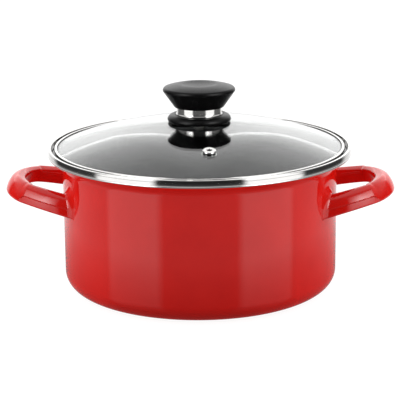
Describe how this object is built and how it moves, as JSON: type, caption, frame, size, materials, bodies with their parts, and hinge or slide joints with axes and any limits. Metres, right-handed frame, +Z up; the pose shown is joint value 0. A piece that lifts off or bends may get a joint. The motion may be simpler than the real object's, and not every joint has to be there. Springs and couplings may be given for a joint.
{
  "type": "covered stock pot",
  "caption": "Round enamelled steel cooking pot with side loop handles and a lift-off domed glass lid with a steam vent and a flared knob.",
  "frame": {"origin": "centre of the base, on the surface that the pot stands on", "axes": "+X along the two side handles, -Y towards the steam vent, +Z up"},
  "size_m": [0.3412, 0.2646, 0.1784],
  "materials": {
    "red_enamel": "glossy vitreous enamel",
    "polished_steel": "mirror polished",
    "tempered_glass": "clear, polished",
    "black_silicone": "matt silicone",
    "black_phenolic": "satin moulded phenolic",
    "brass_insert": "turned",
    "plain_steel": "bright zinc plated"
  },
  "bodies": {
    "pot": {"pot_shell": "red_enamel", "rim_band": "polished_steel", "right_handle": "red_enamel", "left_handle": "red_enamel"},
    "lid": {"lid_glass": "tempered_glass", "lid_rim_band": "polished_steel", "lid_rim_seal": "black_silicone", "vent_eyelet": "polished_steel", "vent_gasket": "black_silicone", "vent_washer": "plain_steel", "knob_gasket": "black_silicone", "knob_base": "black_phenolic", "knob_collar": "polished_steel", "knob_cap": "black_phenolic", "knob_insert": "brass_insert", "knob_lower_seal": "black_silicone", "knob_washer": "plain_steel", "knob_lock_washer": "plain_steel", "knob_screw": "plain_steel"}
  },
  "joints": [
    {"name": "lid_lift", "type": "slide", "parent": "pot", "child": "lid", "axis": [0, 0, 1], "range_m": [0, 0.18]}
  ]
}
